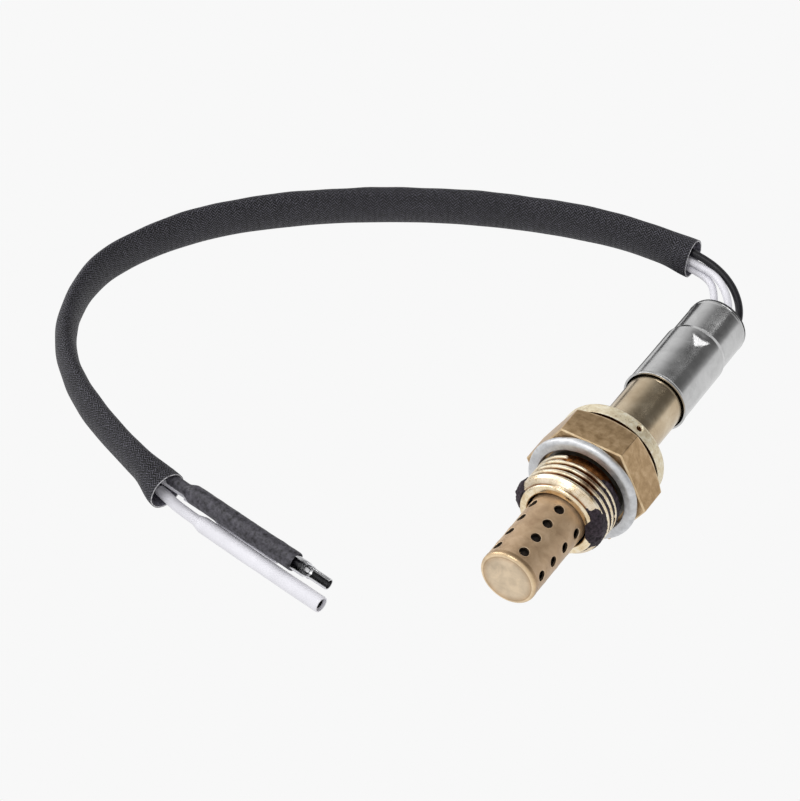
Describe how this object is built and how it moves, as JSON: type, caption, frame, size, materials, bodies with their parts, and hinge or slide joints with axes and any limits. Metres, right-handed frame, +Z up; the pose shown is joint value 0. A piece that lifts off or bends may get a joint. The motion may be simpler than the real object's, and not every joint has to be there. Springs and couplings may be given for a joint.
{
  "type": "oxygen sensor",
  "caption": "Heated exhaust oxygen sensor with perforated tip, threaded hex body, crimped rear shroud and flying leads in a woven sleeve.",
  "frame": {"origin": "on the floor, under the middle of the sensor itself (leads, sleeve and splice ends left out)", "axes": "+Z up as the sensor lies, +Y along the sensor from its perforated tip towards its shroud and leads, +X to the side of a hex corner"},
  "size_m": [0.129, 0.1174, 0.0235],
  "materials": {
    "nickel_plated_steel": "satin",
    "gasket_steel": "satin",
    "tip_steel": "satin",
    "sheath_steel": "polished",
    "shroud_steel": "polished",
    "spring_steel": "satin",
    "contact_nickel": "satin",
    "tinned_brass": "polished",
    "zirconia": "matt ceramic",
    "alumina": "matt ceramic",
    "talc": "matt powder",
    "grommet_rubber": "matt",
    "paste": "dull grease",
    "black_insulation": "satin",
    "white_insulation": "satin",
    "sleeve_weave": "coated glass-fibre weave",
    "black_shrink": "matt",
    "white_shrink": "matt"
  },
  "bodies": {
    "root": {"hex_body": "nickel_plated_steel", "sealing_gasket": "gasket_steel", "anti_seize_paste": "paste", "outer_protection_tube": "tip_steel", "inner_protection_tube": "tip_steel", "element_seal_washer": "spring_steel", "zirconia_thimble": "zirconia", "talc_ring": "talc", "ceramic_support_tube": "alumina", "retaining_ring": "spring_steel", "heater_rod": "alumina", "terminal_insulator": "alumina", "disc_spring": "spring_steel", "signal_contact": "contact_nickel", "heater_contact_a": "contact_nickel", "heater_contact_b": "contact_nickel", "sheath_tube": "sheath_steel", "rear_shroud": "shroud_steel", "grommet": "grommet_rubber", "black_wire": "black_insulation", "white_wire_a": "white_insulation", "white_wire_b": "white_insulation", "woven_sleeve": "sleeve_weave", "shrink_tube_black": "black_shrink", "shrink_tube_white_a": "white_shrink", "shrink_tube_white_b": "white_shrink", "splice_terminal_black": "tinned_brass", "splice_terminal_white_a": "tinned_brass", "splice_terminal_white_b": "tinned_brass"}
  },
  "joints": []
}
